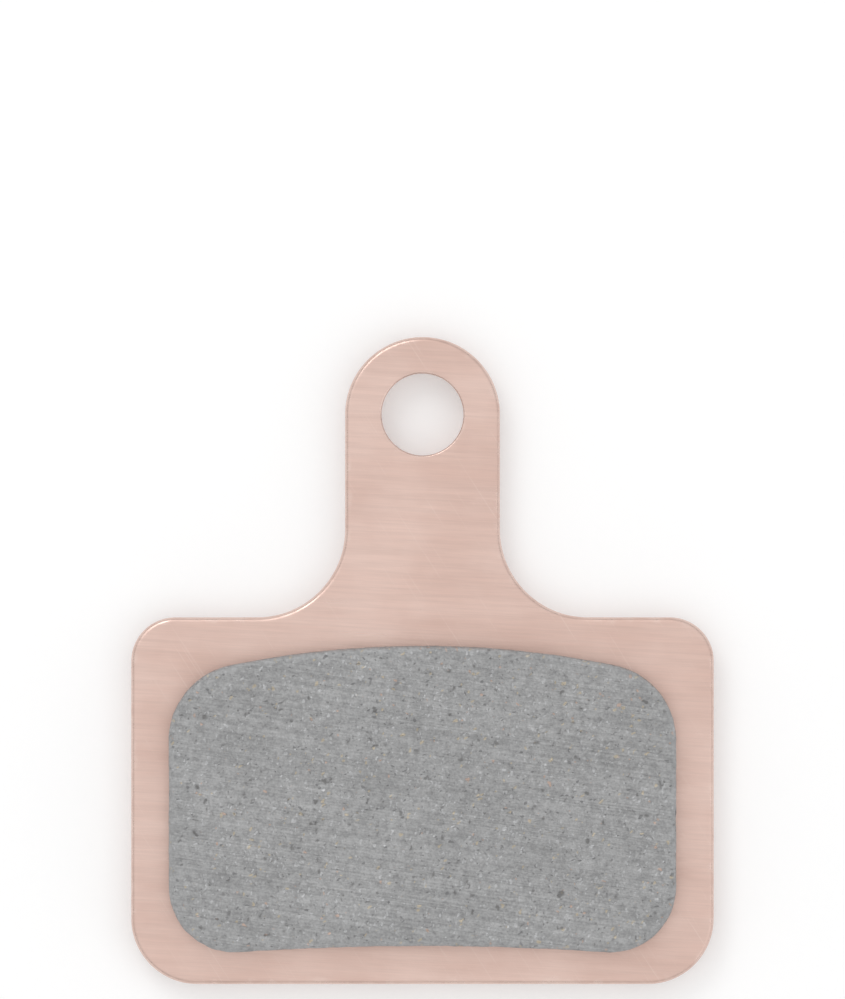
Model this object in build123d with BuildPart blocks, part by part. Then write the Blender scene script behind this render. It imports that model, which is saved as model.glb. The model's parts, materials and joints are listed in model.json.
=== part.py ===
"""Bicycle disc brake pad: a stamped steel backing plate with a friction lining bonded to it.

The pad lies on the back of its plate with the friction face up. The origin is on the axis of
the bore, level with the back of the plate. +Y points from the bore over the tip of the tab, so
the body of the pad lies on the -Y side. +Z points from the plate to the friction face.
All sizes are in millimetres.
"""

import os

from build123d import *

# Backing plate: the outline of the blank
plate_thickness = 1.8
plate_width = 29.15  # between the straight sides, which slide in the caliper's pocket
plate_drop = 28.5  # from the bore axis down to the bottom edge
shoulder_drop = 10.15  # from the bore axis down to the shoulders beside the tab
shoulder_corner_radius = 2.2
bottom_corner_radius = 3.3
tab_width = 7.75  # the tip of the tab is a half circle around the bore
tab_root_radius = 4.4  # hollow corners where the tab meets the shoulders

# Backing plate: the bore for the pad axle
axle_diameter = 4.0
axle_clearance = 0.05  # on the radius, so that the pad slides along its axle
bore_rim_break = 0.1

# Backing plate: the marks that stamping leaves around the rim
rim_roll_radius = 0.25  # the front rim is rolled over
break_band_height = 0.7  # the lower part of the wall breaks away instead of being sheared
break_band_inset = 0.07  # how far the broken wall falls back at the rear face

# Friction lining
lining_thickness = 2.2
lining_side_margin = 1.9  # plate left bare beside each straight side
lining_top_margin = 1.4  # plate left bare between the shoulders and the crown of the top edge
lining_bottom_margin = 1.95  # plate left bare below the crown of the lower edge
lining_top_rise = 1.7  # the top edge is an arc that stands this far above its ends
lining_bottom_rise = 0.6  # the lower edge arches up by this much
lining_top_corner_radius = 3.85
lining_bottom_corner_radius = 3.3
lining_rim_radius = 0.3  # rounding around the friction face

# Places that follow from the sizes above
bore_radius = axle_diameter / 2 + axle_clearance
body_height = plate_drop - shoulder_drop
lining_half_width = plate_width / 2 - lining_side_margin
lining_top = -shoulder_drop - lining_top_margin
lining_bottom = -plate_drop + lining_bottom_margin

# Backing plate
with BuildPart() as backing_plate:
    with BuildSketch() as blank:
        with Locations((0, -shoulder_drop)):
            Rectangle(plate_width, body_height, align=(Align.CENTER, Align.MAX))
        fillet(blank.vertices().group_by(Axis.Y)[-1], shoulder_corner_radius)
        fillet(blank.vertices().group_by(Axis.Y)[0], bottom_corner_radius)
        Rectangle(tab_width, shoulder_drop, align=(Align.CENTER, Align.MAX))
        Circle(tab_width / 2)
        tab_roots = blank.vertices().sort_by_distance((0, -shoulder_drop))[:2]
        fillet(tab_roots, tab_root_radius)
    extrude(amount=plate_thickness)

    front = backing_plate.faces().sort_by(Axis.Z)[-1]
    fillet(front.outer_wire().edges(), rim_roll_radius)
    rear = backing_plate.faces().sort_by(Axis.Z)[0]
    chamfer(rear.outer_wire().edges(), break_band_inset, break_band_height, reference=rear)

    Hole(bore_radius)
    bore_rims = backing_plate.edges().filter_by(GeomType.CIRCLE).sort_by_distance((0, 0, 0))
    chamfer(bore_rims[:2], bore_rim_break)

# Friction lining
with BuildPart() as friction_lining:
    with BuildSketch(Plane.XY.offset(plate_thickness)) as block:
        with BuildLine():
            top_edge = ThreePointArc(
                (-lining_half_width, lining_top - lining_top_rise),
                (0, lining_top),
                (lining_half_width, lining_top - lining_top_rise),
            )
            bottom_edge = ThreePointArc(
                (lining_half_width, lining_bottom - lining_bottom_rise),
                (0, lining_bottom),
                (-lining_half_width, lining_bottom - lining_bottom_rise),
            )
            Line(top_edge @ 1, bottom_edge @ 0)
            Line(bottom_edge @ 1, top_edge @ 0)
        make_face()
        fillet(block.vertices().group_by(Axis.Y)[-1], lining_top_corner_radius)
        fillet(block.vertices().group_by(Axis.Y)[0], lining_bottom_corner_radius)
    extrude(amount=lining_thickness)
    friction_face = friction_lining.faces().sort_by(Axis.Z)[-1]
    fillet(friction_face.edges(), lining_rim_radius)

# One STEP file for each piece
os.makedirs("parts", exist_ok=True)
backing_plate.part.label = "backing_plate"
export_step(backing_plate.part, "parts/backing_plate.step")
friction_lining.part.label = "friction_lining"
export_step(friction_lining.part, "parts/friction_lining.step")
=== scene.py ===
"""Looks of a bicycle disc brake pad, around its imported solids.

The pad is two pieces: a backing plate stamped from copper-flashed steel, and a block of
sintered friction lining bonded to it. Sizes are in millimetres in the part's own frame: the
origin is on the axis of the bore, level with the back of the plate, +Y points from the bore
over the tip of the tab, and +Z points from the plate to the friction face. Meshes go into the
scene in metres.
"""

import functools
import itertools
import json
import logging
import math
from collections.abc import Sequence
from dataclasses import asdict, dataclass, field
from enum import Enum

import bmesh
import bpy
import numpy as np
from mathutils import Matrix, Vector

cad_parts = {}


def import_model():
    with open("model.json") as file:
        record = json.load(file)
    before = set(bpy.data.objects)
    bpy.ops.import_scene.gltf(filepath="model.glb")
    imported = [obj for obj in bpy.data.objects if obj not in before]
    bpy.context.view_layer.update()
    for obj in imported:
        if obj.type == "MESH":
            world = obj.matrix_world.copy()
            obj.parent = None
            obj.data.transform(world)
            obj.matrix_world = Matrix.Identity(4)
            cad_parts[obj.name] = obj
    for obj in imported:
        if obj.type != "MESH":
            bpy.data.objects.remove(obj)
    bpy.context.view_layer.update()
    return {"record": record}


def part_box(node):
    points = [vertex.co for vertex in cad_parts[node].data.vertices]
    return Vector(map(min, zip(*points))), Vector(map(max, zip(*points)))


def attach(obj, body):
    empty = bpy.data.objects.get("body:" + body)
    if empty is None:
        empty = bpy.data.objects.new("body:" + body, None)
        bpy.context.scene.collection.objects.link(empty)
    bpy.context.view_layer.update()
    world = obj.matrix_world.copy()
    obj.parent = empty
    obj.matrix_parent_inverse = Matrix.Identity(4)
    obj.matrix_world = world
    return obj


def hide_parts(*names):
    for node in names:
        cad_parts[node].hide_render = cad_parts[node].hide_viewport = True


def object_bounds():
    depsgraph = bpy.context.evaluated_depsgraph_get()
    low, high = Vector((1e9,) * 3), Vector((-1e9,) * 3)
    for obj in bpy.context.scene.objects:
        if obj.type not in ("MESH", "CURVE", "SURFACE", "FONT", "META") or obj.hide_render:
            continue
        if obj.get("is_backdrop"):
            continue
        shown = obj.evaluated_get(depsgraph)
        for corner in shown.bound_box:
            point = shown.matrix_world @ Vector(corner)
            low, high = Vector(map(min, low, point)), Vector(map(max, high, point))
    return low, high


LOG = logging.getLogger("brake_pad")

MM = 0.001  # metres in a millimetre
QUARTER = math.pi / 2  # a quarter turn
WELD_GAP = 2e-7  # metres: patches share their border points to within this
FIELD_REACH = 48.0  # millimetres that a random field covers on each side of the origin

Triple = tuple[float, float, float]
Colour = Triple
Socket = bpy.types.NodeSocket
Value = Socket | float


class Mask(Enum):
    """Values that a mesh carries at its points for its material to read."""

    RIM = "rim"  # 1 on a rounded edge, 0 away from it
    WALL = "wall"  # 1 on an upright side, 0 on a flat face
    TORN = "torn"  # 1 where the blank broke away instead of being sheared
    PORE = "pore"  # 1 at the bottom of a deep pore, where the lining's material paints shade


class Stretch(Enum):
    """Stretches of the plate's outline, in the order of an anticlockwise walk."""

    BOTTOM = "bottom"
    RIGHT_SIDE = "right side"
    RIGHT_SHOULDER = "right shoulder"
    TAB = "tab"
    LEFT_SHOULDER = "left shoulder"
    LEFT_SIDE = "left side"


# Random fields


def fade(share: np.ndarray) -> np.ndarray:
    """Ease from 0 to 1 by 6t^5 - 15t^4 + 10t^3."""
    return share**3 * (share * (6 * share - 15) + 10)


def lattice(cell: float, around: float | None) -> tuple[float, int]:
    """Fit a lattice of cells to a field or to a closed loop.

    Args:
        cell: Wanted cell size in millimetres.
        around: Length of the closed loop, or None for an open field.

    Returns:
        The cell size that fits, and the number of cells.
    """
    if around is None:
        return cell, 2 * math.ceil(FIELD_REACH / cell)
    count = max(1, round(around / cell))
    return around / count, count


@dataclass(frozen=True)
class SmoothNoise:
    """Random heights that roll over about one cell."""

    cell: float  # millimetres
    height: float  # of the highest lump, in millimetres
    seed: int
    squeeze: float = 1.0  # of y: below 1 the lumps are drawn out along y

    def at(self, x: np.ndarray, y: np.ndarray, around: float | None = None) -> np.ndarray:
        """Read the field at points.

        Random values stand on a square lattice, and each point blends the four values around
        it, weighted by the quintic fade of its place in the lattice cell.

        Args:
            x: First coordinate of each point.
            y: Second coordinate of each point, in the shape of x.
            around: Length after which x comes round to its start, or None.

        Returns:
            One height for each point, from 0 up.
        """
        step, columns = lattice(self.cell, around)
        rows = lattice(self.cell, None)[1]
        table = self.height * np.random.default_rng(self.seed).random((columns, rows))
        x, y = x / step, self.squeeze * y / self.cell
        column, row = np.floor(x).astype(int), np.floor(y).astype(int)
        across, up = fade(x - column), fade(y - row)
        low, high = row % rows, (row + 1) % rows
        left, right = column % columns, (column + 1) % columns
        below = table[left, low] * (1 - across) + table[right, low] * across
        above = table[left, high] * (1 - across) + table[right, high] * across
        return below * (1 - up) + above * up

    def swing(self, x: np.ndarray, y: np.ndarray, around: float | None = None) -> np.ndarray:
        """The field moved down by half its height, so that it swings about 0."""
        return self.at(x, y, around) - self.height / 2


@dataclass(frozen=True)
class Pores:
    """Pores of about one size, scattered at most one to a lattice cell."""

    cell: float  # millimetres
    share: float  # of the cells that hold one
    radius: float  # of the largest, in millimetres
    depth: float  # of the largest, in millimetres
    seed: int

    def at(self, x: np.ndarray, y: np.ndarray, around: float | None = None) -> np.ndarray:
        """Depth of the pores at points.

        A cell holds a pore with the chance share, at a random place and with a random radius r
        from half of radius to all of it. At distance a from its middle a pore is
        depth (r / radius) (1 - (a / r)^2) deep, and the deepest of the nine cells around a
        point counts.

        Args:
            x: First coordinate of each point.
            y: Second coordinate of each point, in the shape of x.
            around: Length after which x comes round to its start, or None.

        Returns:
            One depth for each point, in millimetres.
        """
        step, columns = lattice(self.cell, around)
        rows = lattice(self.cell, None)[1]
        place_x, place_y, chance, size = np.random.default_rng(self.seed).random((4, columns, rows))
        column, row = np.floor(x / step).astype(int), np.floor(y / self.cell).astype(int)
        deepest = np.zeros(np.shape(x))
        for across, up in itertools.product((-1, 0, 1), repeat=2):
            here = (column + across) % columns, (row + up) % rows
            radius = self.radius * (1 + size[here]) / 2
            gap_x = (column + across + place_x[here]) * step - x
            gap_y = (row + up + place_y[here]) * self.cell - y
            bowl = self.depth * radius / self.radius * (1 - (gap_x**2 + gap_y**2) / radius**2)
            deepest = np.maximum(deepest, np.where(chance[here] < self.share, bowl, 0))
        return deepest


# Outlines


@dataclass(frozen=True)
class Trace:
    """Points along an outline in the plane, with the unit normals that point out of it."""

    points: np.ndarray
    normals: np.ndarray

    def inset(self, by: float | np.ndarray) -> np.ndarray:
        """Points moved into the outline along their normals."""
        return self.points - np.asarray(by)[..., None] * self.normals

    def distances(self) -> tuple[np.ndarray, float]:
        """Measure along a closed trace.

        Returns:
            The distance of each point from the first one, and the length of the whole loop.
        """
        steps = np.linalg.norm(np.roll(self.points, -1, axis=0) - self.points, axis=1)
        return np.concatenate(([0.0], np.cumsum(steps)[:-1])), float(steps.sum())


@dataclass(frozen=True)
class Line:
    """A straight run of an outline, with the outside on its right."""

    start: tuple[float, float]
    end: tuple[float, float]

    @property
    def length(self) -> float:
        """Distance from start to end."""
        return math.dist(self.start, self.end)

    def trace(self, share: np.ndarray) -> Trace:
        """Points along the run: start plus share times the way to the end.

        Args:
            share: Shares of the length, from 0 to 1.

        Returns:
            The points with their normals, which are the way turned right.
        """
        way = np.subtract(self.end, self.start)
        normals = np.tile((way[1], -way[0]), (len(share), 1)) / self.length
        return Trace(np.array(self.start) + share[:, None] * way, normals)


@dataclass(frozen=True)
class Arc:
    """A round run of an outline. It bulges outwards if its angle grows, and else it is hollow."""

    centre: tuple[float, float]
    radius: float
    start: float
    end: float

    @property
    def length(self) -> float:
        """Radius times the angle."""
        return self.radius * abs(self.end - self.start)

    def trace(self, share: np.ndarray) -> Trace:
        """Points along the run: centre plus radius times the spoke at that share of the angle.

        Args:
            share: Shares of the angle, from 0 to 1.

        Returns:
            The points with their normals, which are the spokes or, in a hollow, their opposites.
        """
        angle = self.start + share * (self.end - self.start)
        spokes = np.stack([np.cos(angle), np.sin(angle)], axis=1)
        outwards = spokes if self.end > self.start else -spokes
        return Trace(np.array(self.centre) + self.radius * spokes, outwards)


Run = Line | Arc


def total_length(runs: Sequence[Run]) -> float:
    """Length of runs that are joined end to end."""
    return sum(run.length for run in runs)


def walk(runs: Sequence[Run], steps: int) -> Trace:
    """Walk along runs that are joined end to end, in equal steps.

    Args:
        runs: The runs in order.
        steps: Number of steps from the first start to the last end.

    Returns:
        The trace of steps + 1 points, both ends included.
    """
    ends = np.cumsum([run.length for run in runs])
    places = np.linspace(0, ends[-1], steps + 1)
    owner = np.minimum(np.searchsorted(ends, places), len(runs) - 1)
    points, normals = np.empty((steps + 1, 2)), np.empty((steps + 1, 2))
    for index, run in enumerate(runs):
        mine = owner == index
        part = run.trace((places[mine] - ends[index]) / run.length + 1)
        points[mine], normals[mine] = part.points, part.normals
    return Trace(points, normals)


def join(traces: Sequence[Trace]) -> Trace:
    """Join traces that meet end to end into one closed loop, each shared point once."""
    parts = [(trace.points[:-1], trace.normals[:-1]) for trace in traces]
    return Trace(*(np.concatenate(arrays) for arrays in zip(*parts)))


# Meshes


@dataclass
class Patch:
    """A piece of surface: points in millimetres, faces, and masks at the points."""

    points: np.ndarray
    faces: np.ndarray
    masks: dict[Mask, np.ndarray]


def lift(plane: np.ndarray, z: float | np.ndarray) -> np.ndarray:
    """Points of the plane with a third coordinate."""
    height = np.broadcast_to(z, plane.shape[:-1])
    return np.concatenate([plane, height[..., None]], axis=-1)


def grid_patch(
    points: np.ndarray, masks: dict[Mask, np.ndarray] | None = None, closed: bool = False
) -> Patch:
    """Quads over a grid of points.

    Args:
        points: Array of rows by columns by 3.
        masks: Values for each point, in any shape that spreads over rows by columns.
        closed: Whether the last column joins the first.

    Returns:
        The patch.
    """
    rows, columns = points.shape[:2]
    index = np.arange(rows * columns).reshape(rows, columns)
    if closed:
        index = np.concatenate([index, index[:, :1]], axis=1)
    corners = [index[:-1, :-1], index[:-1, 1:], index[1:, 1:], index[1:, :-1]]
    spread = {
        mask: np.broadcast_to(value, (rows, columns)).ravel()
        for mask, value in (masks or {}).items()
    }
    return Patch(points.reshape(-1, 3), np.stack(corners, axis=-1).reshape(-1, 4), spread)


def halving_patch(coarse: np.ndarray, fine: np.ndarray, masks: dict[Mask, float]) -> Patch:
    """Triangles between a closed loop and one around it with twice as many points.

    Args:
        coarse: The loop with fewer points.
        fine: The loop with twice as many, two for each of the coarse loop's.
        masks: Values of the fine loop's points; the coarse loop has none.

    Returns:
        The patch, with three triangles for each step of the coarse loop.
    """
    count = len(coarse)
    here = np.arange(count)
    after = (here + 1) % count
    first, middle, last = count + 2 * here, count + 2 * here + 1, count + 2 * after
    triangles = [(here, first, middle), (here, middle, after), (after, middle, last)]
    faces = np.concatenate([np.stack(corners, axis=-1) for corners in triangles])
    loops = {mask: np.repeat((0.0, value), (count, 2 * count)) for mask, value in masks.items()}
    return Patch(np.concatenate([coarse, fine]), faces, loops)


def fan_patch(loop: np.ndarray, middle: np.ndarray, masks: dict[Mask, float]) -> Patch:
    """Triangles from each step of a closed loop to one point in its middle.

    Args:
        loop: The points of the loop.
        middle: The point in the middle.
        masks: Values that all the points have.

    Returns:
        The patch.
    """
    count = len(loop)
    here = np.arange(count)
    faces = np.stack([here, np.roll(here, -1), np.full(count, count)], axis=-1)
    spread = {mask: np.full(count + 1, value) for mask, value in masks.items()}
    return Patch(np.concatenate([loop, middle[None]]), faces, spread)


def weld(name: str, patches: Sequence[Patch]) -> bpy.types.Object:
    """Join patches along their shared borders into one smooth mesh that faces outwards.

    Args:
        name: Name of the piece.
        patches: The patches, whose border points coincide. A mask that one lacks is 0 on it.

    Returns:
        The piece, linked to the scene.
    """
    starts = np.cumsum([0] + [len(patch.points) for patch in patches])
    points = np.concatenate([patch.points for patch in patches]) * MM
    faces = [
        face
        for patch, start in zip(patches, starts)
        for face in (patch.faces + start).tolist()
    ]
    mesh = bpy.data.meshes.new(name)
    mesh.from_pydata(points, [], faces)
    for mask in Mask:
        values = [patch.masks.get(mask, np.zeros(len(patch.points))) for patch in patches]
        layer = mesh.attributes.new(mask.value, "FLOAT", "POINT")
        layer.data.foreach_set("value", np.concatenate(values).astype(np.float32))
    shell = bmesh.new()
    shell.from_mesh(mesh)
    bmesh.ops.remove_doubles(shell, verts=shell.verts, dist=WELD_GAP)
    bmesh.ops.recalc_face_normals(shell, faces=shell.faces)
    shell.to_mesh(mesh)
    shell.free()
    mesh.shade_smooth()
    piece = bpy.data.objects.new(name, mesh)
    bpy.context.scene.collection.objects.link(piece)
    return piece


# Shader nodes


@dataclass(frozen=True)
class Bare:
    """What a finish is like where there are no marks on it."""

    brightness: float  # times the finish's colour
    roughness: float
    relief: float  # millimetres that a bump of 1 stands for


@dataclass(frozen=True)
class Mark:
    """What one kind of mark does to a finish where its mask is 1."""

    colour: Colour = (0.0, 0.0, 0.0)
    cover: float = 0.0  # how far its colour hides the finish
    shade: float = 0.0  # added to the brightness
    rough: float = 0.0  # added to the roughness
    height: float = 0.0  # added to the bump


class Graph:
    """Adds nodes to one node tree, sets their sockets and links them."""

    def __init__(self, tree: bpy.types.NodeTree) -> None:
        """Keep the tree that the nodes go into."""
        self.tree = tree

    def add(
        self, kind: str, sockets: dict[str | int, object] | None = None, **settings: object
    ) -> bpy.types.Node:
        """Add a node.

        Args:
            kind: Blender's name for the node's type.
            sockets: Input name or index to a value, or to the output that feeds it.
            **settings: The node's own properties.

        Returns:
            The node.
        """
        node = self.tree.nodes.new(kind)
        for name, value in settings.items():
            setattr(node, name, value)
        for key, value in (sockets or {}).items():
            socket = node.inputs[key]
            if isinstance(value, Socket):
                self.tree.links.new(value, socket)
            else:
                socket.default_value = (*value, 1.0) if socket.type == "RGBA" else value
        return node

    def math(self, operation: str, first: Value, second: Value) -> Socket:
        """Result of one sum or comparison of two values."""
        return self.add("ShaderNodeMath", {0: first, 1: second}, operation=operation).outputs[0]

    def product(self, *values: Value) -> Socket:
        """All the values multiplied."""
        return functools.reduce(functools.partial(self.math, "MULTIPLY"), values)

    def total(self, terms: Sequence[tuple[Socket, float]], start: Value = 0.0) -> Socket:
        """Add up values, each times its own weight.

        Args:
            terms: Pairs of a value and its weight. A weight of 0 adds no node.
            start: What the sum starts from.

        Returns:
            The sum.
        """
        for value, weight in terms:
            if weight:
                sockets = {0: value, 1: weight, 2: start}
                start = self.add("ShaderNodeMath", sockets, operation="MULTIPLY_ADD").outputs[0]
        return start

    def rest(self, share: Socket) -> Socket:
        """What is missing from 1."""
        return self.math("SUBTRACT", 1.0, share)

    def span(
        self, value: Socket, from_low: Value, from_high: Value, low: float = 0.0, high: float = 1.0
    ) -> Socket:
        """Value carried from one span to another by a smooth step, and held at its ends."""
        sockets = {0: value, 1: from_low, 2: from_high, 3: low, 4: high}
        return self.add("ShaderNodeMapRange", sockets, interpolation_type="SMOOTHSTEP").outputs[0]

    def mix(self, share: Value, first: Socket | Colour, second: Socket | Colour) -> Socket:
        """Colour that goes from the first, at a share of 0, to the second, at 1."""
        sockets = {0: share, 6: first, 7: second}
        return self.add("ShaderNodeMix", sockets, data_type="RGBA").outputs[2]

    def shade(self, colour: Socket, brightness: Socket) -> Socket:
        """Colour times a brightness."""
        sockets = {"Vector": colour, "Scale": brightness}
        return self.add("ShaderNodeVectorMath", sockets, operation="SCALE").outputs[0]

    def mask(self, mask: Mask) -> Socket:
        """Value that the mesh carries at its points."""
        return self.add("ShaderNodeAttribute", attribute_name=mask.value).outputs["Fac"]

    def mapping(self, kind: str, place: Socket, scale: Triple, turn: float, shift: float) -> Socket:
        """Place scaled, turned about Z and shifted, in the order that a Mapping of that kind has."""
        sockets = {0: place, 1: (shift, shift, shift), 2: (0.0, 0.0, turn), 3: scale}
        return self.add("ShaderNodeMapping", sockets, vector_type=kind).outputs[0]

    def place(self, turn: float = 0.0, shift: float = 0.0) -> Socket:
        """Place on the object in millimetres, turned about Z and shifted to another sample."""
        coordinates = self.add("ShaderNodeTexCoord").outputs["Object"]
        return self.mapping("POINT", coordinates, (1 / MM, 1 / MM, 1 / MM), turn, shift)

    def vector(self, operation: str, first: Socket, second: Socket | Triple) -> Socket:
        """Result of one sum of two vectors."""
        return self.add("ShaderNodeVectorMath", {0: first, 1: second}, operation=operation).outputs[0]

    def noise(self, place: Socket, scale: Value, detail: Value) -> bpy.types.NodeOutputs:
        """Noise of about 0 to 1, with so many cells to the millimetre: a value and a colour."""
        sockets = {"Vector": place, "Scale": scale, "Detail": detail}
        return self.add("ShaderNodeTexNoise", sockets).outputs

    def effect(self, tree: bpy.types.NodeTree, **sockets: Value | Triple) -> bpy.types.NodeOutputs:
        """Outputs of one of the shared effects, placed with values of its own."""
        titles = {name.title(): value for name, value in sockets.items()}
        return self.add("ShaderNodeGroup", titles, node_tree=tree).outputs

    def finish(
        self, bare: Bare, colour: Socket, marks: Sequence[tuple[Socket, Mark]], metallic: Value
    ) -> None:
        """Shade a colour, lay the marks over it, and add the bump, the shader and the output.

        Args:
            bare: What the finish is like without the marks.
            colour: Colour of the finish.
            marks: Pairs of a mask and what its marks do, the lowest first.
            metallic: How far the surface is bare metal.
        """
        brightness = self.total([(mask, mark.shade) for mask, mark in marks], bare.brightness)
        colour = self.shade(colour, brightness)
        for mask, mark in marks:
            if mark.cover:
                colour = self.mix(self.product(mask, mark.cover), colour, mark.colour)
        rough = self.total([(mask, mark.rough) for mask, mark in marks], bare.roughness)
        height = self.total([(mask, mark.height) for mask, mark in marks])
        bump = self.add("ShaderNodeBump", {"Distance": bare.relief * MM, "Height": height}).outputs[0]
        sockets = {"Base Color": colour, "Metallic": metallic, "Roughness": rough, "Normal": bump}
        shader = self.add("ShaderNodeBsdfPrincipled", sockets)
        self.add("ShaderNodeOutputMaterial", {"Surface": shader.outputs[0]})


class Effect:
    """A shared effect: a shader node group that is built once."""

    def __init__(self, name: str, inputs: dict[str, str], outputs: Sequence[str]) -> None:
        """Make the group and its sockets.

        Args:
            name: Name of the group.
            inputs: Input name to its type, Float or Vector.
            outputs: Names of the outputs, which are all values.
        """
        self.tree = bpy.data.node_groups.new(name, "ShaderNodeTree")
        for title, kind in inputs.items():
            self.tree.interface.new_socket(title, in_out="INPUT", socket_type=f"NodeSocket{kind}")
        for title in outputs:
            self.tree.interface.new_socket(title, in_out="OUTPUT", socket_type="NodeSocketFloat")
        self.graph = Graph(self.tree)
        self.given = self.graph.add("NodeGroupInput").outputs
        self.result = self.graph.add("NodeGroupOutput").inputs

    def give(self, title: str, value: Socket) -> None:
        """Send a value out of the group."""
        self.tree.links.new(value, self.result[title])


class Effects:
    """The effects that both materials share."""

    def __init__(self) -> None:
        """Build each effect once."""
        self.grain = self.build_grain()
        self.flecks = self.build_flecks()
        self.wear = self.build_wear()

    @staticmethod
    def build_grain() -> bpy.types.NodeTree:
        """Noise with its own number of cells to the millimetre along X, Y and Z.

        Few cells along one axis draw it out into lines along that axis. A smooth step carries
        Low to 0 and High to 1.

        Returns:
            The group.
        """
        inputs = {"Place": "Vector", "Cells": "Vector", "Detail": "Float", "Low": "Float", "High": "Float"}
        effect = Effect("grain", inputs, ["Value"])
        given, graph = effect.given, effect.graph
        stretched = graph.vector("MULTIPLY", given["Place"], given["Cells"])
        noise = graph.noise(stretched, 1.0, given["Detail"])[0]
        effect.give("Value", graph.span(noise, given["Low"], given["High"]))
        return effect.tree

    @staticmethod
    def build_flecks() -> bpy.types.NodeTree:
        """Flecks of mixed sizes in a share of the cells of a Voronoi pattern.

        Size is the largest radius and Soft the width of the edges, in cells. Each fleck is the
        size times 1 minus a random part of the spread. Tilt is the height of a plane through
        each cell's middle that leans at random: the offset from the middle times a random
        direction.

        Returns:
            The group.
        """
        spread = 0.6
        inputs = {"Place": "Vector", "Share": "Float", "Size": "Float", "Soft": "Float"}
        effect = Effect("flecks", inputs, ["Mask", "Tilt"])
        given, graph = effect.given, effect.graph
        cells = graph.add("ShaderNodeTexVoronoi", {"Vector": given["Place"], "Scale": 1.0}).outputs
        chance = graph.add("ShaderNodeSeparateColor", {0: cells["Color"]}).outputs[2]
        luck = graph.math("DIVIDE", chance, given["Share"])
        chosen = graph.math("LESS_THAN", luck, 1.0)
        size = graph.product(given["Size"], graph.total([(luck, -spread)], 1.0))
        depth = graph.math("SUBTRACT", size, cells["Distance"])
        body = graph.span(graph.math("DIVIDE", depth, given["Soft"]), 0.0, 1.0)
        mask = graph.product(chosen, body)
        effect.give("Mask", mask)
        offset = graph.vector("SUBTRACT", given["Place"], cells["Position"])
        lean = graph.vector("SUBTRACT", cells["Color"], (0.5, 0.5, 0.5))
        dot = graph.add("ShaderNodeVectorMath", {0: offset, 1: lean}, operation="DOT_PRODUCT")
        effect.give("Tilt", graph.product(mask, dot.outputs["Value"]))
        return effect.tree

    @staticmethod
    def build_wear() -> bpy.types.NodeTree:
        """Rubbed edges: a rim value less a grain, carried by a smooth step to a mask.

        Returns:
            The group.
        """
        untouched, rubbed = -0.15, 0.45
        effect = Effect("rim_wear", {"Rim": "Float", "Grain": "Float"}, ["Mask"])
        broken = effect.graph.math("SUBTRACT", effect.given["Rim"], effect.given["Grain"])
        effect.give("Mask", effect.graph.span(broken, untouched, rubbed))
        return effect.tree


@dataclass(frozen=True)
class Grain:
    """One use of the grain effect."""

    cells: Triple  # to the millimetre
    detail: float = 3.0  # layers of finer noise
    low: float = 0.25
    high: float = 0.75

    def lay(self, graph: Graph, effects: Effects, place: Socket) -> Socket:
        """Value of the grain at a place, from 0 to 1."""
        return graph.effect(effects.grain, place=place, **asdict(self))[0]


@dataclass(frozen=True, kw_only=True)
class Flecks:
    """One use of the fleck effect."""

    cell: Triple  # millimetres; at most one fleck lies in each cell
    share: float  # of the cells that hold one
    size: float  # largest radius in cells
    soft: float = 0.16  # width of the edge in cells

    def lay(
        self, graph: Graph, effects: Effects, place: Socket, turn: float = 0.0, shift: float = 0.0
    ) -> bpy.types.NodeOutputs:
        """Mask and tilt of the flecks at a place, with their cells turned and shifted."""
        where = graph.mapping("TEXTURE", place, self.cell, turn, shift)
        return graph.effect(effects.flecks, place=where, share=self.share, size=self.size, soft=self.soft)


# Finishes


def new_material(name: str) -> tuple[bpy.types.Material, Graph]:
    """Start a material with an empty node tree.

    Args:
        name: Name of the material.

    Returns:
        The material, and the graph that fills its tree.
    """
    material = bpy.data.materials.new(name)
    material.use_nodes = True
    material.node_tree.nodes.clear()
    return material, Graph(material.node_tree)


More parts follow.
